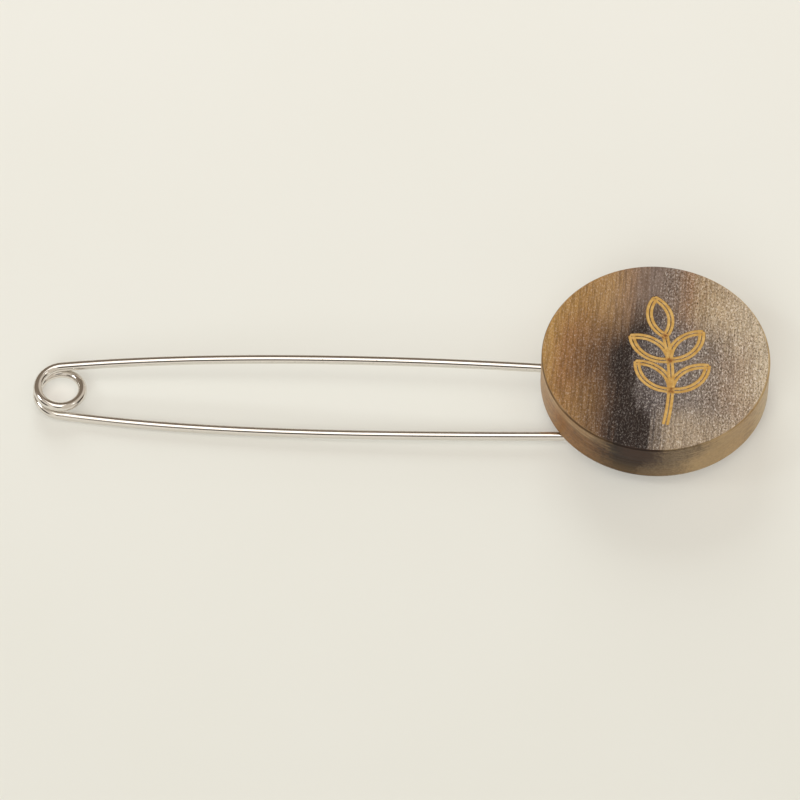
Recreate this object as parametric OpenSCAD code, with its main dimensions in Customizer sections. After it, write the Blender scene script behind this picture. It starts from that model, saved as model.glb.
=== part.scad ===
// Shawl pin: a horn disc on the end of a bent spring wire.
// Millimetres, +Z up. The origin is on the surface that the pin lies on, straight below the
// centre of the disc. +X runs along the pin, from the coil towards the disc.

/* [Disc] */
// Diameter of the horn disc
disc_d = 30; // [26:0.5:36]
// Thickness of the horn disc
disc_h = 6; // [5:0.25:8]
// Radius of the rounded edges of the disc
edge_r = 0.35; // [0.2:0.05:0.6]

/* [Wire] */
// Diameter of the spring wire
wire_d = 1.2; // [1.1:0.05:1.25]
// Distance along the pin from the centre of the coil to the centre of the disc
reach = 78.2; // [60:0.2:100]
// How far the centre of the disc stands to the side of the coil
disc_offset = 4.25; // [3.6:0.05:4.8]
// Depth of the drilled hole that holds the fixed leg
hole_depth = 6.5; // [4:0.5:10]

/* [Coil] */
// Radius of the first turn, to the middle of the wire
coil_r = 2.87; // [2.6:0.01:3.1]
// How much wider the coil is at its last turn
coil_growth = 0.17; // [0:0.01:0.3]
// How far the coil opens where the fixed leg leaves it
fixed_flare = 0.25; // [0.1:0.01:0.4]
// How far the coil opens where the pin leg leaves it
pin_flare = 0.31; // [0.1:0.01:0.4]

/* [Legs] */
// Length over which the fixed leg's outward slope dies away
fixed_bow = 31.5; // [26:0.5:36]
// How steeply the fixed leg closes in again
fixed_closing = 0.048; // [0.03:0.001:0.06]
// Length over which the pin leg's outward slope dies away
pin_bow = 32.5; // [28:0.5:38]
// How steeply the pin leg closes in again
pin_closing = 0.069; // [0.055:0.001:0.08]
// Length of the sharpened point
point_len = 4; // [2:0.5:6]

/* [Catch] */
// Width of the catch bar along the pin
bar_w = 4; // [3:0.5:6]
// Height of the catch bar
bar_h = 2.2; // [2.2:0.05:2.6]
// How deep the bar is let into the back of the disc
let_in = 0.4; // [0.3:0.05:0.45]
// Thickness of the lip under the pin leg
lip_h = 0.42; // [0.3:0.02:0.42]
// Distance from the centre of the disc to the far end of the bar
bar_reach = 9.5; // [8:0.5:12]

/* [Sprig] */
// Width of the engraved line
line_w = 1; // [0.7:0.1:1.2]
// Depth of the engraved line
line_depth = 0.3; // [0.2:0.05:0.5]
// Length of each outlined leaf
leaf_len = 6.2; // [5:0.2:6.6]
// Width of each outlined leaf, to the middle of its line
leaf_w = 2.7; // [2:0.1:3.2]
// Angle between a side leaf and the stem
leaf_lean = 48; // [35:1:60]

/* [Hidden] */

disc_r = disc_d / 2;
wire_r = wire_d / 2;
glue_gap = 0.03;
// Cutting shapes stand out past the surface that they cut by this much.
overrun = 1;
disc_z = bar_h - let_in;
hole_z = disc_z + disc_h / 2;

// The coil: one and a half turns, stacked with a hair of air between them.
// It starts at the fixed leg on top, and ends at the pin leg below.
coil_x = -reach;
coil_y = -disc_offset;
coil_turn = 540;
turn_gap = 0.075;
turn_rise = wire_d + turn_gap;
flare_turn = 90;
radian = 180 / PI;
// The legs run straight from just outside the rim.
rim_gap = 0.2;
leg_len = reach - disc_r - rim_gap;
leg_steps = 26;
coil_steps = 45;

// The pin leg lies in the pocket of the hook, between its lip and its roof.
pin_play = 0.06;
pocket_h = wire_d + 2 * pin_play;
pin_z = lip_h + pin_play + wire_r;
tip_past_bar = 3.5;
tip_x = bar_w / 2 + tip_past_bar;
tip_r = 0.08;
point_steps = 4;

function hermite(t, start, slope, end) =
    (2 * pow(t, 3) - 3 * pow(t, 2) + 1) * start
    + (pow(t, 3) - 2 * pow(t, 2) + t) * slope
    + (3 * pow(t, 2) - 2 * pow(t, 3)) * end;

function coil_radius(turned) =
    coil_r + coil_growth * turned / coil_turn
    + fixed_flare * pow(max(0, 1 - turned / flare_turn), 2)
    + pin_flare * pow(max(0, 1 - (coil_turn - turned) / flare_turn), 2);

function coil_height(turned) = wire_r + turn_rise * (coil_turn - turned) / 360;

function coil_point(turned) = [
    coil_x + coil_radius(turned) * cos(90 + turned),
    coil_y + coil_radius(turned) * sin(90 + turned),
    coil_height(turned)
];

// A leg leaves the coil with an outward slope, which dies away as the leg springs back.
function leg_spread(along, start, slope, bow, closing) =
    start + (slope + closing) * bow * (1 - exp(-along / bow)) - closing * along;

fixed_start = coil_radius(0);
fixed_slope = (2 * fixed_flare / flare_turn - coil_growth / coil_turn) * radian / fixed_start;
fixed_climb = turn_rise / (2 * PI * fixed_start) * leg_len;
pin_start = coil_radius(coil_turn);
pin_slope = (2 * pin_flare / flare_turn + coil_growth / coil_turn) * radian / pin_start;

function fixed_point(along) = [
    coil_x + along,
    coil_y + leg_spread(along, fixed_start, fixed_slope, fixed_bow, fixed_closing),
    hermite(along / leg_len, coil_height(0), fixed_climb, hole_z)
];

function pin_point(along) = [
    coil_x + along,
    coil_y - leg_spread(along, pin_start, pin_slope, pin_bow, pin_closing),
    hermite(along / leg_len, wire_r, 0, pin_z)
];

fixed_mouth = fixed_point(leg_len);
fixed_aim = atan((fixed_slope + fixed_closing) * exp(-leg_len / fixed_bow) - fixed_closing);
pin_mouth = pin_point(leg_len);
pin_aim = -atan((pin_slope + pin_closing) * exp(-leg_len / pin_bow) - pin_closing);

function onward(from, aim, dist) = from + dist * [cos(aim), sin(aim), 0];

wire_end_clear = 0.2;
fixed_end = onward(fixed_mouth, fixed_aim, rim_gap + hole_depth - wire_end_clear);
pin_straight = (tip_x - pin_mouth.x) / cos(pin_aim);

// The bar, with the pocket round the place where the pin leg crosses it.
pin_y = onward(pin_mouth, pin_aim, -pin_mouth.x / cos(pin_aim)).y;
side_play = 0.15;
hook_wall = 1.4;
lip_reach = 1;
mouth_w = 1.7;
hook_y = pin_y - wire_r - side_play;
mouth_y = pin_y + lip_reach;
bar_near = hook_y - hook_wall;

// Centreline and radius of the wire, from the sharp tip to the end in the hole.
tip_part = [for (i = [0 : point_steps])
    [onward(pin_mouth, pin_aim, pin_straight - point_len * i / point_steps),
     tip_r + (wire_r - tip_r) * sqrt(i / point_steps)]];
pin_part = [for (i = [0 : leg_steps - 1]) [pin_point(leg_len * (1 - i / leg_steps)), wire_r]];
coil_part = [for (i = [0 : coil_steps]) [coil_point(coil_turn * (1 - i / coil_steps)), wire_r]];
fixed_part = [for (i = [1 : leg_steps]) [fixed_point(leg_len * i / leg_steps), wire_r]];
wire_line = concat(tip_part, pin_part, coil_part, fixed_part, [[fixed_end, wire_r]]);

wire_sides = 16;
up = [0, 0, 1];

function unit(v) = v / norm(v);
function heading(line, i) =
    unit(line[min(i + 1, len(line) - 1)][0] - line[max(i - 1, 0)][0]);
function ring(centre, r, along) =
    let (side = unit(cross(along, up)), over = cross(side, along))
    [for (k = [0 : wire_sides - 1])
        let (a = 360 * k / wire_sides)
        centre + r * (cos(a) * side + sin(a) * over)];

// A solid rod along a line of [point, radius] rows.
module swept_rod(line) {
    last = len(line) - 1;
    points = [for (i = [0 : last]) each ring(line[i][0], line[i][1], heading(line, i))];
    walls = [for (i = [0 : last - 1], k = [0 : wire_sides - 1])
        let (a = i * wire_sides + k,
             b = i * wire_sides + (k + 1) % wire_sides)
        each [[a, b, a + wire_sides], [b, b + wire_sides, a + wire_sides]]];
    start_cap = [[for (k = [wire_sides - 1 : -1 : 0]) k]];
    end_cap = [[for (k = [0 : wire_sides - 1]) last * wire_sides + k]];
    polyhedron(points = points, faces = concat(walls, start_cap, end_cap));
}

// The sprig: a bent stem with two pairs of outlined leaves and one at its tip.
stem_r = 34;
stem_foot = [1.4, -10.6];
stem_lean = 11;
stem_arc = 24;
leaf_bend_r = (pow(leaf_len, 2) / 4 + pow(leaf_w, 2) / 4) / leaf_w;
leaf_half_arc = asin(leaf_len / 2 / leaf_bend_r);
pair_places = [0.38, 0.72];
inlay_gap = 0.04;

function stem_angle(share) = stem_lean - stem_arc * share;
function stem_point(share) = stem_foot + stem_r * [
    cos(stem_angle(share)) - cos(stem_lean),
    sin(stem_lean) - sin(stem_angle(share))
];

// One curved line in the plane, along the arc from angle "from".
module curved_line(r, from, sweep, w) {
    far = 2 * r;
    rotate(from)
        difference() {
            intersection() {
                circle(r = r + w / 2, $fn = 96);
                polygon([[0, 0], [far, 0], far * [cos(sweep), sin(sweep)]]);
            }
            circle(r = r - w / 2, $fn = 96);
        }
    for (a = [from, from + sweep])
        rotate(a)
            translate([r, 0])
                circle(d = w, $fn = 32);
}

// A leaf that points along +Y from its foot at the origin.
module leaf_outline(w) {
    for (side = [-1, 1])
        translate([-side * (leaf_bend_r - leaf_w / 2), leaf_len / 2])
            curved_line(leaf_bend_r, 90 - side * 90 - leaf_half_arc, 2 * leaf_half_arc, w);
}

module sprig_lines(w, h) {
    linear_extrude(height = h) {
        translate([stem_foot.x - stem_r * cos(stem_lean), stem_foot.y + stem_r * sin(stem_lean)])
            curved_line(stem_r, -stem_lean, stem_arc, w);
        for (share = pair_places, side = [-1, 1])
            translate(stem_point(share))
                rotate(-stem_angle(share) + side * leaf_lean)
                    leaf_outline(w);
        translate(stem_point(1))
            rotate(-stem_angle(1))
                leaf_outline(w);
    }
}

// The disc of polished horn, drilled for the fixed leg and engraved on its face.
module horn_disc() {
    color([0.42, 0.34, 0.25])
        difference() {
            translate([0, 0, disc_z])
                rotate_extrude($fn = 128) {
                    square([disc_r - edge_r, disc_h]);
                    translate([0, edge_r]) square([disc_r, disc_h - 2 * edge_r]);
                    for (y = [edge_r, disc_h - edge_r])
                        translate([disc_r - edge_r, y]) circle(r = edge_r, $fn = 32);
                }
            translate(fixed_mouth)
                rotate([0, 90, fixed_aim])
                    translate([0, 0, -overrun])
                        cylinder(h = overrun + rim_gap + hole_depth, r = wire_r + glue_gap, $fn = 32);
            translate([0, 0, disc_z + disc_h - line_depth])
                sprig_lines(line_w, line_depth + overrun);
            translate([-bar_w / 2 - glue_gap, bar_near - glue_gap, disc_z - overrun])
                cube([bar_w, bar_reach - bar_near, let_in + overrun] + glue_gap * [2, 2, 1]);
        }
}

// Gold-coloured filler in the engraved lines.
module gold_inlay() {
    color([0.84, 0.65, 0.32])
        translate([0, 0, disc_z + disc_h - line_depth + inlay_gap])
            sprig_lines(line_w - 2 * inlay_gap, line_depth - 2 * inlay_gap);
}

// Bright spring wire: fixed leg, coil and pin leg in one piece.
module pin_wire() {
    color([0.82, 0.82, 0.8])
        swept_rod(wire_line);
}

// Plain bar glued across the back of the disc. A hook cut into its near end holds the pin leg.
module catch_bar() {
    color([0.72, 0.72, 0.7])
        translate([-bar_w / 2, 0, 0])
            rotate([90, 0, 90])
                linear_extrude(height = bar_w)
                    difference() {
                        translate([bar_near, 0])
                            square([bar_reach - bar_near, bar_h]);
                        translate([hook_y, lip_h])
                            square([mouth_y + mouth_w - hook_y, pocket_h]);
                        translate([mouth_y, -overrun])
                            square([mouth_w, lip_h + 2 * overrun]);
                    }
}

horn_disc();
gold_inlay();
pin_wire();
catch_bar();
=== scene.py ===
import math
import random

import bmesh
import bpy
from mathutils import Matrix, Vector


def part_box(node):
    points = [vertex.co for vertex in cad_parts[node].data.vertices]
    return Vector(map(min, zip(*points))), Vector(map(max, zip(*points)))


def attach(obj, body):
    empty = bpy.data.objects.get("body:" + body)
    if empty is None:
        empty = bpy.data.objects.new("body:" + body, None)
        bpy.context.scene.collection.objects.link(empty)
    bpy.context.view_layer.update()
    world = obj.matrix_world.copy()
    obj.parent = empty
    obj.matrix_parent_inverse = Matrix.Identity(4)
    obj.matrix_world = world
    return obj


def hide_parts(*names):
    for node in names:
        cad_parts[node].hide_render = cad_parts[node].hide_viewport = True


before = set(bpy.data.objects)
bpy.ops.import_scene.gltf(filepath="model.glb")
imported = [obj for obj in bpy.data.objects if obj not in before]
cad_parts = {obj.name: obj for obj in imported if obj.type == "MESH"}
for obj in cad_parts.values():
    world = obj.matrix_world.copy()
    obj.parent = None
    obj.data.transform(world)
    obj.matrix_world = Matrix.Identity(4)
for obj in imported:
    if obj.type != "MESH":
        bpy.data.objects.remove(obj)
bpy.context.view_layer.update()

# The wire is one length of bright plated spring steel. The fixed leg leaves a hole in the disc, runs
# back to a coil of one and a half turns, and returns below as the pin leg, which is ground to a point.
MM = 0.001
disc_low, disc_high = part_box("horn_disc")
disc_back, disc_face = disc_low.z, disc_high.z
wire_r = 0.6 * MM
coil_centre = Vector((-78.2, -4.25, 0)) * MM
coil_r = 2.87 * MM
coil_growth = 0.17 * MM
fixed_flare = 0.25 * MM
pin_flare = 0.31 * MM
flare_turn = math.radians(90)
coil_turn = math.radians(540)
turn_rise = 1.275 * MM
fixed_bow = 31.5 * MM
fixed_closing = 0.048
pin_bow = 32.5 * MM
pin_closing = 0.069
leg_length = 63 * MM
hole_height = (disc_back + disc_face) / 2
hole_depth = 6.5 * MM
pin_height = 1.08 * MM
tip_x = 5.5 * MM
tip_r = 0.08 * MM
point_length = 4 * MM
point_steps, straight_steps, leg_steps, coil_steps = 24, 12, 90, 216
wire_sides = 40


def hermite(t, start, slope, end):
    """A smooth rise from start, with the given first slope, to end, where it is level."""
    return ((2 * t ** 3 - 3 * t ** 2 + 1) * start + (t ** 3 - 2 * t ** 2 + t) * slope
            + (3 * t ** 2 - 2 * t ** 3) * end)


def coil_radius(turned):
    return (coil_r + coil_growth * turned / coil_turn
            + fixed_flare * max(0, 1 - turned / flare_turn) ** 2
            + pin_flare * max(0, 1 - (coil_turn - turned) / flare_turn) ** 2)


def coil_height(turned):
    return wire_r + turn_rise * (coil_turn - turned) / (2 * math.pi)


def coil_point(turned):
    a = math.pi / 2 + turned
    across = Vector((math.cos(a), math.sin(a), 0))
    return coil_centre + coil_radius(turned) * across + Vector((0, 0, coil_height(turned)))


def leg_spread(along, start, slope, bow, closing):
    """How far a leg stands out from the coil's centre: its slope dies away, and it closes in again."""
    return start + (slope + closing) * bow * (1 - math.exp(-along / bow)) - closing * along


fixed_start = coil_radius(0)
fixed_slope = (2 * fixed_flare / flare_turn - coil_growth / coil_turn) / fixed_start
fixed_climb = turn_rise / (2 * math.pi * fixed_start) * leg_length
pin_start = coil_radius(coil_turn)
pin_slope = (2 * pin_flare / flare_turn + coil_growth / coil_turn) / pin_start
fixed_aim = math.atan((fixed_slope + fixed_closing) * math.exp(-leg_length / fixed_bow) - fixed_closing)
pin_aim = -math.atan((pin_slope + pin_closing) * math.exp(-leg_length / pin_bow) - pin_closing)


def fixed_point(along):
    spread = leg_spread(along, fixed_start, fixed_slope, fixed_bow, fixed_closing)
    height = hermite(along / leg_length, coil_height(0), fixed_climb, hole_height)
    return coil_centre + Vector((along, spread, height))


def pin_point(along):
    spread = leg_spread(along, pin_start, pin_slope, pin_bow, pin_closing)
    height = hermite(along / leg_length, wire_r, 0, pin_height)
    return coil_centre + Vector((along, -spread, height))


def onward(start, aim, distance):
    return start + distance * Vector((math.cos(aim), math.sin(aim), 0))


def mesh_piece(name, form):
    """Turns a finished bmesh into an object of the scene, at the origin of the part."""
    bmesh.ops.recalc_face_normals(form, faces=form.faces)
    mesh = bpy.data.meshes.new(name)
    form.to_mesh(mesh)
    form.free()
    piece = bpy.data.objects.new(name, mesh)
    bpy.context.scene.collection.objects.link(piece)
    return piece


def ring_across(form, middle, way, r, sides):
    """A ring of points round a wire or a drill, square to the way that it runs."""
    side = way.cross(Vector((0, 0, 1))).normalized()
    over = side.cross(way)
    turned = [2 * math.pi * k / sides for k in range(sides)]
    return [form.verts.new(middle + r * (math.cos(a) * side + math.sin(a) * over)) for a in turned]


fixed_mouth = fixed_point(leg_length)
fixed_end = onward(fixed_mouth, fixed_aim, hole_depth)
pin_mouth = pin_point(leg_length)
pin_straight = (tip_x - pin_mouth.x) / math.cos(pin_aim)

wire_line = []
for i in range(point_steps):
    share = i / point_steps
    place = onward(pin_mouth, pin_aim, pin_straight - point_length * share)
    wire_line.append((place, tip_r + (wire_r - tip_r) * math.sqrt(share)))
for i in range(straight_steps):
    share = i / straight_steps
    wire_line.append((onward(pin_mouth, pin_aim, (pin_straight - point_length) * (1 - share)), wire_r))
for i in range(leg_steps):
    wire_line.append((pin_point(leg_length * (1 - i / leg_steps)), wire_r))
for i in range(coil_steps):
    wire_line.append((coil_point(coil_turn * (1 - i / coil_steps)), wire_r))
for i in range(leg_steps + 1):
    wire_line.append((fixed_point(leg_length * i / leg_steps), wire_r))
wire_line.append((fixed_end, wire_r))

wire_form = bmesh.new()
round_map = wire_form.loops.layers.uv.new("round_and_along")
wire_rings = []
ring_place = []
travelled = 0.0
for i, (place, r) in enumerate(wire_line):
    before = wire_line[max(i - 1, 0)][0]
    after = wire_line[min(i + 1, len(wire_line) - 1)][0]
    travelled += (place - before).length
    ring_place.append(travelled)
    wire_rings.append(ring_across(wire_form, place, (after - before).normalized(), r, wire_sides))
for i in range(len(wire_rings) - 1):
    for k in range(wire_sides):
        j = (k + 1) % wire_sides
        face = wire_form.faces.new((wire_rings[i][k], wire_rings[i][j],
                                    wire_rings[i + 1][j], wire_rings[i + 1][k]))
        face.smooth = True
        corners = ((k, i), (k + 1, i), (k + 1, i + 1), (k, i + 1))
        for loop, (around, row) in zip(face.loops, corners):
            loop[round_map].uv = (around / wire_sides * 2 * math.pi * wire_r, ring_place[row])
wire_form.faces.new(wire_rings[0])
wire_form.faces.new(wire_rings[-1])
wire = mesh_piece("spring_wire", wire_form)
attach(wire, "root")
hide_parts("pin_wire")


def rgb(red, green, blue):
    """A colour as the eye sees it, from 0 to 255, as the shader's own linear numbers."""
    seen = [value / 255 for value in (red, green, blue)]
    return tuple(v / 12.92 if v <= 0.04045 else ((v + 0.055) / 1.055) ** 2.4 for v in seen) + (1.0,)


def add(tree, kind, inputs=(), **settings):
    """Adds a node. inputs is a dict of socket to a value or to another node's output."""
    node = tree.nodes.new(kind)
    for key, value in settings.items():
        setattr(node, key, value)
    for socket, value in dict(inputs).items():
        if isinstance(value, bpy.types.NodeSocket):
            tree.links.new(value, node.inputs[socket])
        else:
            node.inputs[socket].default_value = value
    return node


def calc(tree, operation, first, second=0.0):
    return add(tree, "ShaderNodeMath", {0: first, 1: second}, operation=operation).outputs[0]


def remap(tree, value, low, high, to_low=0.0, to_high=1.0):
    """Eases a value from one range into another, and keeps it inside."""
    sockets = {"Value": value, "From Min": low, "From Max": high, "To Min": to_low, "To Max": to_high}
    return add(tree, "ShaderNodeMapRange", sockets, interpolation_type="SMOOTHSTEP").outputs["Result"]


def lay_over(tree, amount, under, over, how="MIX"):
    """Lays one colour over another by an amount from 0 to 1."""
    node = add(tree, "ShaderNodeMix", {0: amount, 6: under, 7: over}, data_type="RGBA", blend_type=how)
    return node.outputs[2]


def effect_group(name, inputs, outputs):
    """An empty shader node group with the named sockets, for an effect that several finishes share."""
    tree = bpy.data.node_groups.new(name, "ShaderNodeTree")
    for socket, kind in inputs.items():
        tree.interface.new_socket(name=socket, in_out="INPUT", socket_type="NodeSocket" + kind)
    for socket, kind in outputs.items():
        tree.interface.new_socket(name=socket, in_out="OUTPUT", socket_type="NodeSocket" + kind)
    return tree, tree.nodes.new("NodeGroupInput").outputs, tree.nodes.new("NodeGroupOutput").inputs


def place_group(tree, group, inputs):
    return add(tree, "ShaderNodeGroup", inputs, node_tree=group).outputs


def in_millimetres(tree, place, slant=0.0):
    """A place on a piece in millimetres. The slant turns it about Z, for grain that lies aslant."""
    sockets = {"Vector": place, "Scale": (1 / MM,) * 3, "Rotation": (0, 0, slant)}
    return add(tree, "ShaderNodeMapping", sockets).outputs[0]


def new_finish(name):
    """A new material, and the tree and main shader that its nodes go to."""
    finish = bpy.data.materials.new(name)
    finish.use_nodes = True
    tree = finish.node_tree
    return finish, tree, tree.nodes["Principled BSDF"]


def to_shader(tree, shader, sockets):
    for socket, value in sockets.items():
        if isinstance(value, bpy.types.NodeSocket):
            tree.links.new(value, shader.inputs[socket])
        else:
            shader.inputs[socket].default_value = value


# Fine lines that lie along the Y of the vector given: sanding scratches, drawing lines, fibres.
streaks, taken, given = effect_group(
    "fine_streaks", {"Vector": "Vector", "Across": "Float", "Along": "Float"}, {"Streaks": "Float"})
stretch = add(streaks, "ShaderNodeCombineXYZ",
              {0: taken["Across"], 1: taken["Along"], 2: taken["Across"]})
drawn_out = add(streaks, "ShaderNodeVectorMath", {0: taken["Vector"], 1: stretch.outputs[0]},
                operation="MULTIPLY")
streak_noise = add(streaks, "ShaderNodeTexNoise",
                   {"Vector": drawn_out.outputs[0], "Scale": 1.0, "Detail": 3.0, "Roughness": 0.6})
streaks.links.new(remap(streaks, streak_noise.outputs["Fac"], 0.3, 0.7), given["Streaks"])

# Small bright or dark grains, scattered evenly: sanding glints, paint grain, pits.
specks, taken, given = effect_group(
    "small_specks", {"Vector": "Vector", "Fineness": "Float", "Cover": "Float"}, {"Specks": "Float"})
speck_noise = add(specks, "ShaderNodeTexNoise",
                  {"Vector": taken["Vector"], "Scale": taken["Fineness"], "Detail": 1.0, "Roughness": 0.5})
cut_off = calc(specks, "SUBTRACT", 0.75, taken["Cover"])
lit = calc(specks, "SUBTRACT", speck_noise.outputs["Fac"], cut_off)
specks.links.new(remap(specks, lit, 0.0, 0.14), given["Specks"])

# The plating is nearly a mirror, with faint lines along the wire from its drawing.
wire_finish, tree, shader = new_finish("bright_drawn_steel")
along_wire = add(tree, "ShaderNodeUVMap", uv_map="round_and_along").outputs["UV"]
wire_mm = in_millimetres(tree, along_wire)
drawing = place_group(tree, streaks, {"Vector": wire_mm, "Across": 6.0, "Along": 0.05})["Streaks"]
pits = place_group(tree, specks, {"Vector": wire_mm, "Fineness": 2.5, "Cover": 0.06})["Specks"]
wire_colour = lay_over(tree, pits, rgb(232, 228, 222), rgb(176, 168, 158))
wire_colour = lay_over(tree, remap(tree, drawing, 0.0, 1.0, 0.0, 0.12), wire_colour, rgb(190, 184, 176))
bumped = add(tree, "ShaderNodeBump", {"Height": drawing, "Strength": 0.12, "Distance": 0.006 * MM})
to_shader(tree, shader, {
    "Base Color": wire_colour,
    "Roughness": remap(tree, drawing, 0.0, 1.0, 0.07, 0.14),
    "Normal": bumped.outputs[0],
    "Metallic": 1.0,
})
wire.data.materials.append(wire_finish)

# The disc is a slice of natural horn. It is turned round, its flat faces are sanded across, and its
# edges are eased by hand, so the rounding is wider in some places than in others. It is drilled from
# the side for the wire, and its face is engraved with a sprig.
disc_r = (disc_high.x - disc_low.x) / 2
disc_segments = 288
edge_round = 0.35 * MM
edge_steps = 6
two_lobes, five_lobes = 0.22, 0.1
wall_rings = 30
turning_depth = 0.018 * MM


def close_round(form, rings):
    """Lays four-sided faces from each ring of points to the next, and a face over each end."""
    for ring, other in zip(rings, rings[1:]):
        for i in range(len(ring)):
            j = (i + 1) % len(ring)
            form.faces.new((ring[i], ring[j], other[j], other[i]))
    form.faces.new(rings[0])
    form.faces.new(rings[-1])


def hand_eased(turn):
    """Radius of the rounded edge at a place round the rim, in radians from +X."""
    return edge_round * (1 + two_lobes * math.sin(2 * turn + 0.6) + five_lobes * math.sin(5 * turn + 2))


def turned_outline(turn, lathe_marks):
    """The disc's outline at one place round the rim, from the back to the face, as (radius, height)."""
    rows = []
    back_ease, face_ease = edge_round, hand_eased(turn)
    for step in range(edge_steps + 1):
        a = math.pi / 2 * step / edge_steps
        rows.append((disc_r - back_ease * (1 - math.sin(a)), disc_back + back_ease * (1 - math.cos(a))))
    low, high = disc_back + back_ease, disc_face - face_ease
    for i, mark in enumerate(lathe_marks):
        rows.append((disc_r - mark, low + (high - low) * (i + 1) / (len(lathe_marks) + 1)))
    for step in range(edge_steps + 1):
        a = math.pi / 2 * step / edge_steps
        rows.append((disc_r - face_ease * (1 - math.cos(a)), disc_face - face_ease * (1 - math.sin(a))))
    return rows


random.seed(11)
lathe_marks = [turning_depth * random.random() ** 2 for _ in range(wall_rings)]
blank = bmesh.new()
turns = [2 * math.pi * i / disc_segments for i in range(disc_segments)]
outlines = [turned_outline(turn, lathe_marks) for turn in turns]
disc_rings = []
for row in range(len(outlines[0])):
    places = [(outline[row], turn) for outline, turn in zip(outlines, turns)]
    disc_rings.append([blank.verts.new((r * math.cos(a), r * math.sin(a), z)) for (r, z), a in places])
close_round(blank, disc_rings)
horn = mesh_piece("horn_slice", blank)

# The cuts: the sprig's lines in the face, the drilled hole for the fixed leg, and the shallow channel
# in the back that the catch bar is let into. A graver makes each line of the sprig in two passes side
# by side, so a line is a pair of narrow tracks.
stem_bend = 34 * MM
stem_foot = Vector((1.4, -10.6)) * MM
stem_lean = math.radians(11)
stem_arc = math.radians(24)
leaf_length = 6.2 * MM
leaf_width = 2.7 * MM
leaf_lean = math.radians(48)
leaf_bend = (leaf_length ** 2 + leaf_width ** 2) / 4 / leaf_width
leaf_half_arc = math.asin(leaf_length / 2 / leaf_bend)
pair_places = [0.38, 0.72]
line_width = 1 * MM
line_depth = 0.3 * MM
ridge_width = 0.04 * MM
track_width = (line_width - ridge_width) / 2
track_spread = (line_width - track_width) / 2
line_step = 0.16 * MM
floor_share = 0.8
above_face = 0.2 * MM
tooth = 0.03 * MM
nose_end = 0.05
glue_gap = 0.03 * MM
drill_start = 1 * MM
drill_end = 0.2 * MM
drill_sides = 48
cut_below = 1.2 * MM
bar_low, bar_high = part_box("catch_bar")


def along_arc(centre, bend, first, sweep):
    """Points and sideways directions along a bent line, from angle first, in radians."""
    count = max(8, round(bend * abs(sweep) / line_step))
    for i in range(count + 1):
        out = Vector((math.cos(first + sweep * i / count), math.sin(first + sweep * i / count)))
        yield centre + bend * out, out


def stem_angle(share):
    return stem_lean - stem_arc * share


def stem_point(share):
    a = stem_angle(share)
    return stem_foot + stem_bend * Vector((math.cos(a) - math.cos(stem_lean),
                                           math.sin(stem_lean) - math.sin(a)))


def leaf_lines(foot, heading):
    """The two bent sides of a leaf that starts at foot and points along heading, measured from +Y."""
    ahead = Vector((-math.sin(heading), math.cos(heading)))
    right = Vector((math.cos(heading), math.sin(heading)))
    for side in (-1, 1):
        centre = foot + ahead * leaf_length / 2 - right * side * (leaf_bend - leaf_width / 2)
        toward = heading + (0 if side > 0 else math.pi)
        yield list(along_arc(centre, leaf_bend, toward - leaf_half_arc, 2 * leaf_half_arc))


def sprig_lines():
    """Every line of the sprig: the stem, two pairs of leaves and the leaf at the tip."""
    centre = stem_foot + stem_bend * Vector((-math.cos(stem_lean), math.sin(stem_lean)))
    yield list(along_arc(centre, stem_bend, -stem_lean, stem_arc))
    for share in pair_places:
        for side in (-1, 1):
            yield from leaf_lines(stem_point(share), -stem_angle(share) + side * leaf_lean)
    yield from leaf_lines(stem_point(1), -stem_angle(1))


def track_solid(line, offset, section, wander=0.0):
    """One graver track as a closed solid: a cross-section of (across, height) swept along the line.
    Each end is rounded off by shrinking the section over the last stretch."""
    form = bmesh.new()
    reach = max(abs(across) for across, height in section)
    first, first_out = line[0]
    last, last_out = line[-1]
    first_way = (first - line[1][0]).normalized()
    last_way = (last - line[-2][0]).normalized()
    nose = [(reach * math.sin(a), max(math.cos(a), nose_end))
            for a in map(math.radians, (90, 72, 54, 36, 18))]
    stations = [(first + first_way * beyond, first_out, scale) for beyond, scale in nose]
    stations += [(point, out, 1 + wander * random.uniform(-1, 1)) for point, out in line]
    stations += [(last + last_way * beyond, last_out, scale) for beyond, scale in reversed(nose)]
    rings = []
    for point, out, scale in stations:
        spots = [point + out * (offset + across * scale) for across, height in section]
        rings.append([form.verts.new((spot.x, spot.y, height))
                      for spot, (across, height) in zip(spots, section)])
    close_round(form, rings)
    return form


def carve(piece, tools, way="DIFFERENCE"):
    """Cuts all the tools out of a piece, or welds them to it, and throws them away. The work is done at
    a thousand times the size, because the exact solver is too coarse for cuts this fine. A mesh that is
    removed takes its object with it."""
    bench = bpy.data.collections.new("bench")
    for tool in tools:
        bench.objects.link(tool)
    for body in [piece, *tools]:
        body.data.transform(Matrix.Scale(1 / MM, 4))
    change = piece.modifiers.new(way.lower(), "BOOLEAN")
    change.operation = way
    change.solver = "EXACT"
    change.operand_type = "COLLECTION"
    change.collection = bench
    seen = piece.evaluated_get(bpy.context.evaluated_depsgraph_get())
    mesh = bpy.data.meshes.new_from_object(seen)
    mesh.transform(Matrix.Scale(MM, 4))
    piece.modifiers.clear()
    worn_meshes = [body.data for body in (piece, *tools)]
    piece.data = mesh
    for worn in worn_meshes:
        bpy.data.meshes.remove(worn)
    bpy.data.collections.remove(bench)


random.seed(5)
half = track_width / 2
groove_top = disc_face + above_face
groove_floor = disc_face - line_depth
groove_section = [(-half, groove_top), (half, groove_top),
                  (half * floor_share, groove_floor), (-half * floor_share, groove_floor)]
cuts = [mesh_piece("graver", track_solid(line, offset, groove_section, tooth / half))
        for line in sprig_lines() for offset in (-track_spread, track_spread)]


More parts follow.
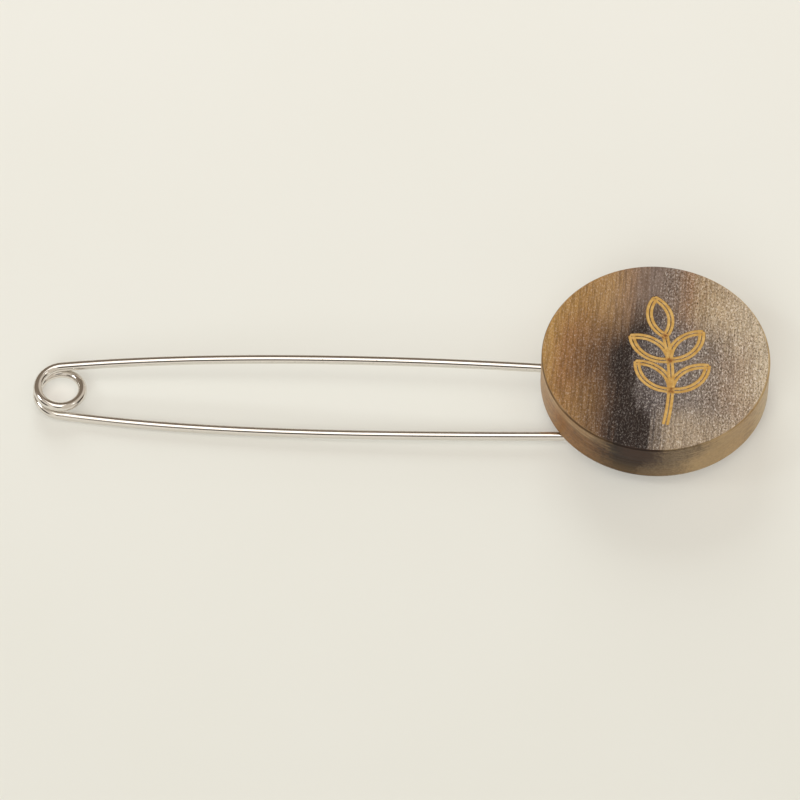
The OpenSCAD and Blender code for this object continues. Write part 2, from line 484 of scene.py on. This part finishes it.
def rod_between(start, end, r):
    form = bmesh.new()
    way = (end - start).normalized()
    close_round(form, [ring_across(form, middle, way, r, drill_sides) for middle in (start, end)])
    return form


def block_between(low, high):
    form = bmesh.new()
    rings = []
    for z in (low.z, high.z):
        corners = ((low.x, low.y), (high.x, low.y), (high.x, high.y), (low.x, high.y))
        rings.append([form.verts.new((x, y, z)) for x, y in corners])
    close_round(form, rings)
    return form


def smooth_below(piece, degrees):
    """Shades a piece smooth, but for the edges where it turns by more than so many degrees."""
    for face in piece.data.polygons:
        face.use_smooth = True
    piece.data.set_sharp_from_angle(angle=math.radians(degrees))


# The hole is drilled level and a touch wider than the wire. The channel is cut across the back.
drill = rod_between(onward(fixed_mouth, fixed_aim, -drill_start),
                    onward(fixed_mouth, fixed_aim, hole_depth + drill_end), wire_r + glue_gap)
channel = block_between(bar_low - Vector((glue_gap, glue_gap, cut_below)),
                        bar_high + Vector((glue_gap, glue_gap, glue_gap)))
carve(horn, cuts + [mesh_piece("drill", drill), mesh_piece("channel", channel)])
smooth_below(horn, 25)
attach(horn, "root")
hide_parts("horn_disc")


def colour_ramp(tree, value, stops):
    """A ramp through (place, colour) stops, with the places in the value's own units."""
    first, last = stops[0][0], stops[-1][0]
    share = add(tree, "ShaderNodeMapRange", {"Value": value, "From Min": first, "From Max": last})
    node = add(tree, "ShaderNodeValToRGB", {0: share.outputs["Result"]})
    ramp = node.color_ramp
    while len(ramp.elements) < len(stops):
        ramp.elements.new(1.0)
    for element, (place, colour) in zip(ramp.elements, stops):
        element.position = (place - first) / (last - first)
        element.color = colour
    return node.outputs[0]


# Horn grows in layers: amber at one side of this slice, a charcoal vein, then smoke grey to blond.
amber, tawny, umber = rgb(177, 137, 81), rgb(147, 105, 64), rgb(87, 65, 50)
russet, charcoal, smoke = rgb(152, 118, 88), rgb(44, 33, 29), rgb(84, 74, 72)
ash, drab, fawn = rgb(110, 100, 98), rgb(128, 114, 104), rgb(164, 140, 117)
straw, blond = rgb(177, 154, 127), rgb(208, 190, 163)
horn_finish, tree, shader = new_finish("sanded_horn")
place = add(tree, "ShaderNodeTexCoord").outputs["Object"]
grain_slant = math.radians(3)
in_mm = in_millimetres(tree, place, grain_slant)
mottle = add(tree, "ShaderNodeTexNoise", {"Vector": in_mm, "Scale": 0.16, "Detail": 2.0})
swayed = add(tree, "ShaderNodeVectorMath",
             {0: mottle.outputs["Color"], 1: (0.5, 0.5, 0.5)}, operation="SUBTRACT")
swayed = add(tree, "ShaderNodeVectorMath",
             {0: swayed.outputs[0], 1: (2.0, 4.0, 0.0), 2: in_mm}, operation="MULTIPLY_ADD")
axis = add(tree, "ShaderNodeSeparateXYZ", {0: swayed.outputs[0]}).outputs
fibres = place_group(tree, streaks, {"Vector": in_mm, "Across": 1.6, "Along": 0.06})["Streaks"]
fine_fibres = place_group(tree, streaks, {"Vector": in_mm, "Across": 3.6, "Along": 0.2})["Streaks"]
across = calc(tree, "ADD", axis[0], remap(tree, fibres, 0.0, 1.0, -0.5, 0.5))

# The vein leans to one side behind the middle, and spreads at the near rim. The far part is browner.
vein_lean = remap(tree, axis[1], 0.0, 9.0, 0.0, -2.6)
vein_spread = calc(tree, "MULTIPLY", remap(tree, axis[1], -12.0, -4.0, -2.8, 0.0),
                   remap(tree, across, -4.2, -1.5))
vein_spread = calc(tree, "MULTIPLY", vein_spread, remap(tree, axis[2], 1.5, 6.5, 0.4, 1.0))
layer = calc(tree, "ADD", across, calc(tree, "ADD", vein_lean, vein_spread))
near_part = colour_ramp(tree, layer, [
    (-15.0, amber), (-12.0, tawny), (-6.3, umber), (-4.6, charcoal), (-3.2, charcoal), (-2.4, smoke),
    (1.5, ash), (5.0, drab), (8.0, rgb(136, 117, 101)), (10.0, fawn), (12.0, straw), (15.0, blond)])
far_part = colour_ramp(tree, across, [
    (-15.0, amber), (-10.0, rgb(162, 123, 74)), (-6.5, rgb(166, 130, 87)), (-4.0, rgb(141, 112, 89)),
    (-1.0, rgb(127, 109, 99)), (1.5, rgb(126, 106, 92)), (4.0, russet), (6.0, rgb(175, 149, 115)),
    (10.0, rgb(191, 169, 140)), (15.0, blond)])
off_vein = calc(tree, "ABSOLUTE", calc(tree, "ADD", across, 1.6))
far_shift = calc(tree, "ADD", remap(tree, off_vein, 3.0, 1.0, 0.0, -1.5),
                 remap(tree, across, 7.0, 10.0, 0.0, 2.5))
far_reach = remap(tree, calc(tree, "ADD", axis[1], far_shift), 1.5, 9.2)
horn_colour = lay_over(tree, far_reach, near_part, far_part)

# The horn is paler at the near rim, and amber again at the left of it. Dark fibres run through it all.
upward = add(tree, "ShaderNodeSeparateXYZ", {0: add(tree, "ShaderNodeNewGeometry").outputs["Normal"]})
tipped = calc(tree, "ABSOLUTE", upward.outputs[2])
on_face = remap(tree, tipped, 0.8, 0.98)
on_wall = calc(tree, "SUBTRACT", 1.0, on_face)
near_rim = calc(tree, "MULTIPLY", remap(tree, axis[1], -6.0, -12.0), remap(tree, across, -0.5, 3.0))
near_rim = calc(tree, "MULTIPLY", near_rim, remap(tree, on_face, 0.0, 1.0, 0.1, 0.8))
horn_colour = lay_over(tree, near_rim, horn_colour, rgb(180, 158, 131))
near_amber = calc(tree, "MULTIPLY", remap(tree, axis[1], -3.0, -9.0), remap(tree, across, -6.0, -10.0))
near_amber = calc(tree, "MULTIPLY", near_amber, remap(tree, on_face, 0.0, 1.0, 0.05, 0.35))
horn_colour = lay_over(tree, near_amber, horn_colour, amber)
horn_colour = lay_over(tree, remap(tree, fine_fibres, 0.25, 0.85, 0.0, 0.36), horn_colour,
                       rgb(96, 74, 58), "MULTIPLY")

# Sanding leaves scratches, whose glints are painted highlights (pale specks laid into the colour), and
# darker pores, most on the grey side and the blond.
sanded_along = add(tree, "ShaderNodeVectorMath", {0: in_mm, 1: (1.4, 0.7, 1.0)}, operation="MULTIPLY")
sanding = add(tree, "ShaderNodeTexNoise", {
    "Vector": sanded_along.outputs[0], "Scale": 3.6, "Detail": 4.0, "Roughness": 0.85}).outputs["Fac"]
glints = remap(tree, sanding, 0.5, 0.68)
pores = remap(tree, sanding, 0.49, 0.34)
grey_side = remap(tree, layer, -3.4, -1.6, 0.0, 0.85)
blond_side = remap(tree, layer, 2.0, 9.0, 0.0, 0.5)
amber_side = remap(tree, layer, -9.0, -5.0, 0.58, 0.46)
sanded = calc(tree, "ADD", amber_side, calc(tree, "ADD", grey_side, blond_side))
sanded = calc(tree, "MULTIPLY", sanded, remap(tree, fine_fibres, 0.0, 1.0, 1.0, 0.55))
sanded = calc(tree, "MULTIPLY", sanded, on_face)
# Painted highlights: the scratches' glints, as pale specks in the horn's colour.
horn_colour = lay_over(tree, calc(tree, "MULTIPLY", sanded, calc(tree, "MULTIPLY", glints, 0.7)),
                       horn_colour, rgb(224, 214, 206))
horn_colour = lay_over(tree, calc(tree, "MULTIPLY", sanded, calc(tree, "MULTIPLY", pores, 0.9)),
                       horn_colour, rgb(106, 92, 84), "MULTIPLY")

# The turned wall is smoother and browner. It has fine level lines, paler towards the face, a pale flank at
# the right and the dark end of the vein. A painted highlight runs along the top of the wall at the left,
# and the rounded edges get painted shade.
lathe = add(tree, "ShaderNodeSeparateXYZ", {0: in_mm}).outputs
round_rim = calc(tree, "MULTIPLY", calc(tree, "ARCTAN2", lathe[1], lathe[0]), 4.0)
up_wall = calc(tree, "MULTIPLY", lathe[2], 4.5)
wall_place = add(tree, "ShaderNodeCombineXYZ", {0: round_rim, 1: up_wall})
turning_lines = add(tree, "ShaderNodeTexNoise",
                    {"Vector": wall_place.outputs[0], "Scale": 1.0, "Detail": 3.0}).outputs["Fac"]
below_face = remap(tree, lathe[2], disc_face / MM - 3.0, disc_face / MM - 0.6, 0.1, 0.55)
lathe_lines_and_highlight = calc(tree, "MULTIPLY", remap(tree, turning_lines, 0.5, 0.7), below_face)
lathe_lines_and_highlight = calc(tree, "MULTIPLY", lathe_lines_and_highlight, remap(tree, off_vein, 2.0, 6.0, 0.15, 1.0))
deeper = calc(tree, "MULTIPLY", on_wall, remap(tree, lathe[2], 5.5, 1.0, 0.0, 0.3))
deeper = calc(tree, "MULTIPLY", deeper, remap(tree, across, 2.0, 7.0, 1.0, 0.2))
horn_colour = lay_over(tree, deeper, horn_colour, rgb(152, 126, 92))
horn_colour = lay_over(tree, on_wall, horn_colour, rgb(248, 233, 194), "MULTIPLY")
flank_edge = calc(tree, "SUBTRACT", across, remap(tree, lathe[2], 4.0, 7.0, 0.0, 3.0))
pale_flank = calc(tree, "MULTIPLY", remap(tree, flank_edge, 3.0, 7.0), remap(tree, across, 13.5, 11.0))
pale_flank = calc(tree, "MULTIPLY", calc(tree, "MULTIPLY", pale_flank, on_wall), 0.42)
horn_colour = lay_over(tree, pale_flank, horn_colour, rgb(196, 166, 120))
# Painted highlight: a pale band along the top of the wall at the left, laid in together with the level
# lines.
upper_left_highlight = calc(tree, "MULTIPLY", remap(tree, lathe[2], disc_face / MM - 2.2, disc_face / MM - 0.7),
                 remap(tree, lathe[0], -4.0, -9.0, 0.0, 0.3))
lathe_lines_and_highlight = calc(tree, "ADD", lathe_lines_and_highlight, upper_left_highlight)
lathe_lines_and_highlight = calc(tree, "MULTIPLY", on_wall, lathe_lines_and_highlight)
horn_colour = lay_over(tree, lathe_lines_and_highlight, horn_colour, rgb(188, 162, 122))
vein_end = calc(tree, "MULTIPLY", remap(tree, lathe[2], 3.5, 6.5),
                remap(tree, calc(tree, "ABSOLUTE", calc(tree, "ADD", across, 0.8)), 3.8, 1.4))
vein_end = calc(tree, "MULTIPLY", calc(tree, "MULTIPLY", vein_end, on_wall), 0.9)
horn_colour = lay_over(tree, vein_end, horn_colour, rgb(54, 36, 26))
# Painted shade: the rounded edges between the flat faces and the wall are darkened in the colour, less on
# the blond side.
rounded_edge_shade = calc(tree, "MULTIPLY", remap(tree, tipped, 0.1, 0.35), remap(tree, tipped, 0.9, 0.7))
rounded_edge_shade = calc(tree, "MULTIPLY", rounded_edge_shade, remap(tree, mottle.outputs["Fac"], 0.35, 0.65, 0.4, 0.8))
rounded_edge_shade = calc(tree, "MULTIPLY", rounded_edge_shade, remap(tree, across, -2.0, 8.0, 1.0, 0.3))
horn_colour = lay_over(tree, rounded_edge_shade, horn_colour, rgb(112, 92, 76), "MULTIPLY")
relief = calc(tree, "ADD", calc(tree, "MULTIPLY", sanding, on_face),
              calc(tree, "MULTIPLY", turning_lines, on_wall))
relief = calc(tree, "ADD", relief, calc(tree, "MULTIPLY", fine_fibres, 0.4))
bumped = add(tree, "ShaderNodeBump", {"Height": relief, "Strength": 0.4, "Distance": 0.03 * MM})
to_shader(tree, shader, {
    "Base Color": horn_colour,
    "Roughness": remap(tree, calc(tree, "SUBTRACT", on_face, calc(tree, "MULTIPLY", glints, 0.3)),
                       0.0, 1.0, 0.34, 0.46),
    "Normal": bumped.outputs[0],
    "Specular IOR Level": 0.24,
    "Subsurface Weight": 0.1,
    "Subsurface Radius": (1.0, 0.6, 0.35),
    "Subsurface Scale": 0.9 * MM,
})
horn.data.materials.clear()
horn.data.materials.append(horn_finish)

# The filler is gold-coloured lacquer wiped into the tracks. It sinks a little in the middle of each
# track as it dries, and it is brown where lines meet, as if scorched.
filler_gap = 0.04 * MM
filler_wander = 0.04
filler_half = half - filler_gap
filler_top = disc_face - filler_gap
filler_floor = groove_floor + filler_gap
sunk = 0.05 * MM
across_steps = 6
shares = [1 - 2 * k / across_steps for k in range(across_steps + 1)]
filler_section = [(filler_half * share, filler_top - sunk * (1 - share ** 2)) for share in shares]
filler_section += [(-filler_half * floor_share, filler_floor), (filler_half * floor_share, filler_floor)]
random.seed(8)
gold, *more_gold = [mesh_piece("gold_sprig", track_solid(line, offset, filler_section, filler_wander))
                    for line in sprig_lines() for offset in (-track_spread, track_spread)]
carve(gold, more_gold, "UNION")
smooth_below(gold, 40)
meetings = [stem_point(share) for share in pair_places] + [stem_point(1)]
scorch_reach = 1.1 * MM
scorch = gold.data.attributes.new("scorch", "FLOAT", "POINT")
for vertex, mark in zip(gold.data.vertices, scorch.data):
    nearest = min((vertex.co.xy - meeting).length for meeting in meetings)
    mark.value = max(0.0, 1 - nearest / scorch_reach)
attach(gold, "root")
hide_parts("gold_inlay")

gold_finish, tree, shader = new_finish("gold_lacquer")
place = add(tree, "ShaderNodeTexCoord").outputs["Object"]
in_mm = in_millimetres(tree, place)
paint_cloud = add(tree, "ShaderNodeTexNoise", {"Vector": in_mm, "Scale": 1.4, "Detail": 4.0}).outputs["Fac"]
gold_colour = colour_ramp(tree, paint_cloud, [
    (0.3, rgb(186, 141, 72)), (0.5, rgb(200, 158, 88)), (0.7, rgb(211, 173, 107))])
grain = place_group(tree, specks, {"Vector": in_mm, "Fineness": 6.0, "Cover": 0.2})["Specks"]
gold_colour = lay_over(tree, calc(tree, "MULTIPLY", grain, 0.35), gold_colour, rgb(160, 112, 58))
scorched = add(tree, "ShaderNodeAttribute", attribute_name="scorch").outputs["Fac"]
scorch_patch = add(tree, "ShaderNodeTexNoise", {"Vector": in_mm, "Scale": 2.6, "Detail": 2.0})
scorch_mask = remap(tree, calc(tree, "MULTIPLY", scorched, scorch_patch.outputs["Fac"]), 0.2, 0.5)
gold_colour = lay_over(tree, calc(tree, "MULTIPLY", scorch_mask, 0.85), gold_colour, rgb(128, 66, 28))
bumped = add(tree, "ShaderNodeBump", {"Height": grain, "Strength": 0.3, "Distance": 0.02 * MM})
to_shader(tree, shader, {
    "Base Color": gold_colour,
    "Roughness": remap(tree, paint_cloud, 0.3, 0.7, 0.42, 0.58),
    "Normal": bumped.outputs[0],
    "Specular IOR Level": 0.4,
})
gold.data.materials.append(gold_finish)

# The catch is a plain bar of steel, sawn from strip and glued into the channel in the back. A slot is
# filed up into its near end: the pin leg lies in it, on a short lip.
lip_height = 0.42 * MM
pocket_height = 1.32 * MM
side_play = 0.15 * MM
lip_reach = 1 * MM
mouth_width = 1.7 * MM
pin_y = onward(pin_mouth, pin_aim, -pin_mouth.x / math.cos(pin_aim)).y
pocket_y = pin_y - wire_r - side_play
mouth_y = pin_y + lip_reach
filed_edge = 0.09 * MM
bar_outline = [
    (bar_low.y, bar_low.z), (mouth_y, bar_low.z), (mouth_y, lip_height), (pocket_y, lip_height),
    (pocket_y, lip_height + pocket_height), (mouth_y + mouth_width, lip_height + pocket_height),
    (mouth_y + mouth_width, bar_low.z), (bar_high.y, bar_low.z), (bar_high.y, bar_high.z),
    (bar_low.y, bar_high.z)]
bar_form = bmesh.new()
bar_rings = [[bar_form.verts.new((x, y, z)) for y, z in bar_outline] for x in (bar_low.x, bar_high.x)]
close_round(bar_form, bar_rings)
bar = mesh_piece("catch", bar_form)
eased = bar.modifiers.new("filed_edges", "BEVEL")
eased.width = filed_edge
eased.segments = 3
smooth_below(bar, 35)
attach(bar, "root")
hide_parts("catch_bar")

bar_finish, tree, shader = new_finish("filed_steel")
place = add(tree, "ShaderNodeTexCoord").outputs["Object"]
in_mm = in_millimetres(tree, place)
filing = place_group(tree, streaks, {"Vector": in_mm, "Across": 7.0, "Along": 0.3})["Streaks"]
pits = place_group(tree, specks, {"Vector": in_mm, "Fineness": 2.0, "Cover": 0.1})["Specks"]
bar_colour = lay_over(tree, filing, rgb(206, 202, 194), rgb(178, 172, 162))
bumped = add(tree, "ShaderNodeBump", {"Height": filing, "Strength": 0.25, "Distance": 0.012 * MM})
to_shader(tree, shader, {
    "Base Color": lay_over(tree, calc(tree, "MULTIPLY", pits, 0.5), bar_colour, rgb(120, 112, 102)),
    "Roughness": remap(tree, filing, 0.0, 1.0, 0.26, 0.4),
    "Normal": bumped.outputs[0],
    "Metallic": 1.0,
})
bar.data.materials.append(bar_finish)

# The pin lies on a sheet of plain cream paper with a painted glow of its own, an emission that lightens its
# shadows and grows towards the back. Inside the coil the painted glow is stronger, for the light the
# polished wire throws back onto it.
paper_half = 2.5
paper_steps = 8
paper_form = bmesh.new()
bmesh.ops.create_grid(paper_form, x_segments=paper_steps, y_segments=paper_steps, size=paper_half)
paper = mesh_piece("paper", paper_form)
paper_finish, tree, shader = new_finish("cream_paper")
place = add(tree, "ShaderNodeTexCoord").outputs["Object"]
tone = add(tree, "ShaderNodeTexNoise", {"Vector": place, "Scale": 30.0, "Detail": 3.0}).outputs["Fac"]
depth = add(tree, "ShaderNodeSeparateXYZ", {0: place}).outputs[1]
from_coil = add(tree, "ShaderNodeVectorMath", {0: place, 1: coil_centre}, operation="DISTANCE")
# Painted light: the paper's emission, brighter towards the back and inside the coil.
painted_glow = colour_ramp(tree, depth, [(-0.09, rgb(216, 211, 202)), (0.1, rgb(254, 247, 240))])
outside_coil = remap(tree, from_coil.outputs["Value"], 1.2 * MM, 3.2 * MM)
painted_glow = lay_over(tree, outside_coil, painted_glow, rgb(204, 204, 204), "MULTIPLY")
to_shader(tree, shader, {
    "Base Color": lay_over(tree, tone, rgb(189, 188, 180), rgb(192, 191, 185)),
    "Roughness": 0.8,
    "Specular IOR Level": 0.2,
    "Emission Color": painted_glow,
    "Emission Strength": 0.52,
})
paper.data.materials.append(paper_finish)

# One wide soft box hangs overhead, a little in front and to the left, and a window stands at each side.
# Two broad fills, behind and in front, light the paper and the horn but don't show in the polished
# wire. The room is dim and brown at the far side, pale at the near side, and dark round the camera.
box_size = (0.5, 0.96)
box_place = Vector((-0.1, -0.12, 1.2))
lamp_white = (1.0, 0.985, 0.955)
daylight = (0.9, 0.98, 1.0)
window_distance = 1.5
soft_box = bpy.data.lights.new("soft_box", "AREA")
soft_box.shape = "RECTANGLE"
soft_box.size, soft_box.size_y = box_size
soft_box.energy = 2.1
soft_box.color = lamp_white
box_holder = bpy.data.objects.new("soft_box", soft_box)
box_holder.location = box_place
bpy.context.scene.collection.objects.link(box_holder)
windows = [
    ("left_window", 184, 40, 0.32, 2.4, True), ("right_window", 343, 53, 0.25, 0.4, True),
    ("far_fill", 101, 23, 0.8, 14.0, False), ("near_fill", 253, 37, 0.8, 9.0, False)]


def way_to(azimuth, elevation):
    """The direction from the pin to a place in the room, by its angle from +X and its height."""
    a, e = math.radians(azimuth), math.radians(elevation)
    return Vector((math.cos(a) * math.cos(e), math.sin(a) * math.cos(e), math.sin(e)))


for name, azimuth, elevation, width, watts, mirrored in windows:
    way = way_to(azimuth, elevation)
    pane = bpy.data.lights.new(name, "AREA")
    pane.size = width
    pane.energy = watts
    pane.color = daylight
    holder = bpy.data.objects.new(name, pane)
    holder.location = way * window_distance
    holder.rotation_mode = "QUATERNION"
    holder.rotation_quaternion = (-way).to_track_quat("-Z", "Y")
    holder.visible_glossy = mirrored
    bpy.context.scene.collection.objects.link(holder)

room = bpy.data.worlds.new("room")
room.use_nodes = True
tree = room.node_tree
background = tree.nodes["Background"]
toward = add(tree, "ShaderNodeTexCoord").outputs["Generated"]
axis = add(tree, "ShaderNodeSeparateXYZ", {0: toward}).outputs
walls = colour_ramp(tree, axis[1], [
    (-1.0, rgb(212, 206, 196)), (-0.25, rgb(196, 188, 177)), (0.2, rgb(124, 112, 99)),
    (1.0, rgb(110, 98, 85))])
walls = lay_over(tree, remap(tree, axis[0], 0.12, 0.36), walls, rgb(190, 181, 169))
dark_cards = [
    ("over_camera", -92, 40, 9, 18), ("at_right", 0, 12, 17, 24), ("near_left", 216, 15, 10, 22)]
for name, azimuth, elevation, core, edge in dark_cards:
    sockets = {0: toward, 1: way_to(azimuth, elevation)}
    facing = add(tree, "ShaderNodeVectorMath", sockets, operation="DOT_PRODUCT", label=name)
    shade = remap(tree, facing.outputs["Value"], math.cos(math.radians(edge)), math.cos(math.radians(core)))
    walls = lay_over(tree, shade, walls, rgb(60, 54, 50))
seen_plain = add(tree, "ShaderNodeLightPath").outputs["Is Camera Ray"]
tree.links.new(lay_over(tree, seen_plain, walls, rgb(232, 226, 215)), background.inputs["Color"])
background.inputs["Strength"].default_value = 1.3
bpy.context.scene.world = room

# The camera stands in front and above, square to the length of the pin but for a small turn. The
# middle of the disc's back falls on the same place in the picture as in the photograph.
turn = math.radians(2.5)
tilt = math.radians(54.31)
sensor = 36.0
picture = 800
focal_pixels = 5308.8
stand_off = 0.7
disc_pixel = (654.16, 383.96)
right_way = Vector((math.cos(turn), math.sin(turn), 0))
view_way = Vector((-math.sin(turn) * math.cos(tilt), math.cos(turn) * math.cos(tilt), -math.sin(tilt)))
up_way = right_way.cross(view_way)
aside = (disc_pixel[0] - picture / 2) / focal_pixels
raised = (picture / 2 - disc_pixel[1]) / focal_pixels
lens = bpy.data.cameras.new("camera")
lens.sensor_width = sensor
lens.lens = focal_pixels / picture * sensor
lens.clip_start, lens.clip_end = 0.01, 20
camera = bpy.data.objects.new("camera", lens)
camera.location = Vector((0, 0, disc_back)) - (right_way * aside + up_way * raised + view_way) * stand_off
camera.rotation_mode = "QUATERNION"
camera.rotation_quaternion = view_way.to_track_quat("-Z", "Y")
bpy.context.scene.collection.objects.link(camera)
bpy.context.scene.camera = camera
bpy.context.scene.view_settings.view_transform = "Standard"
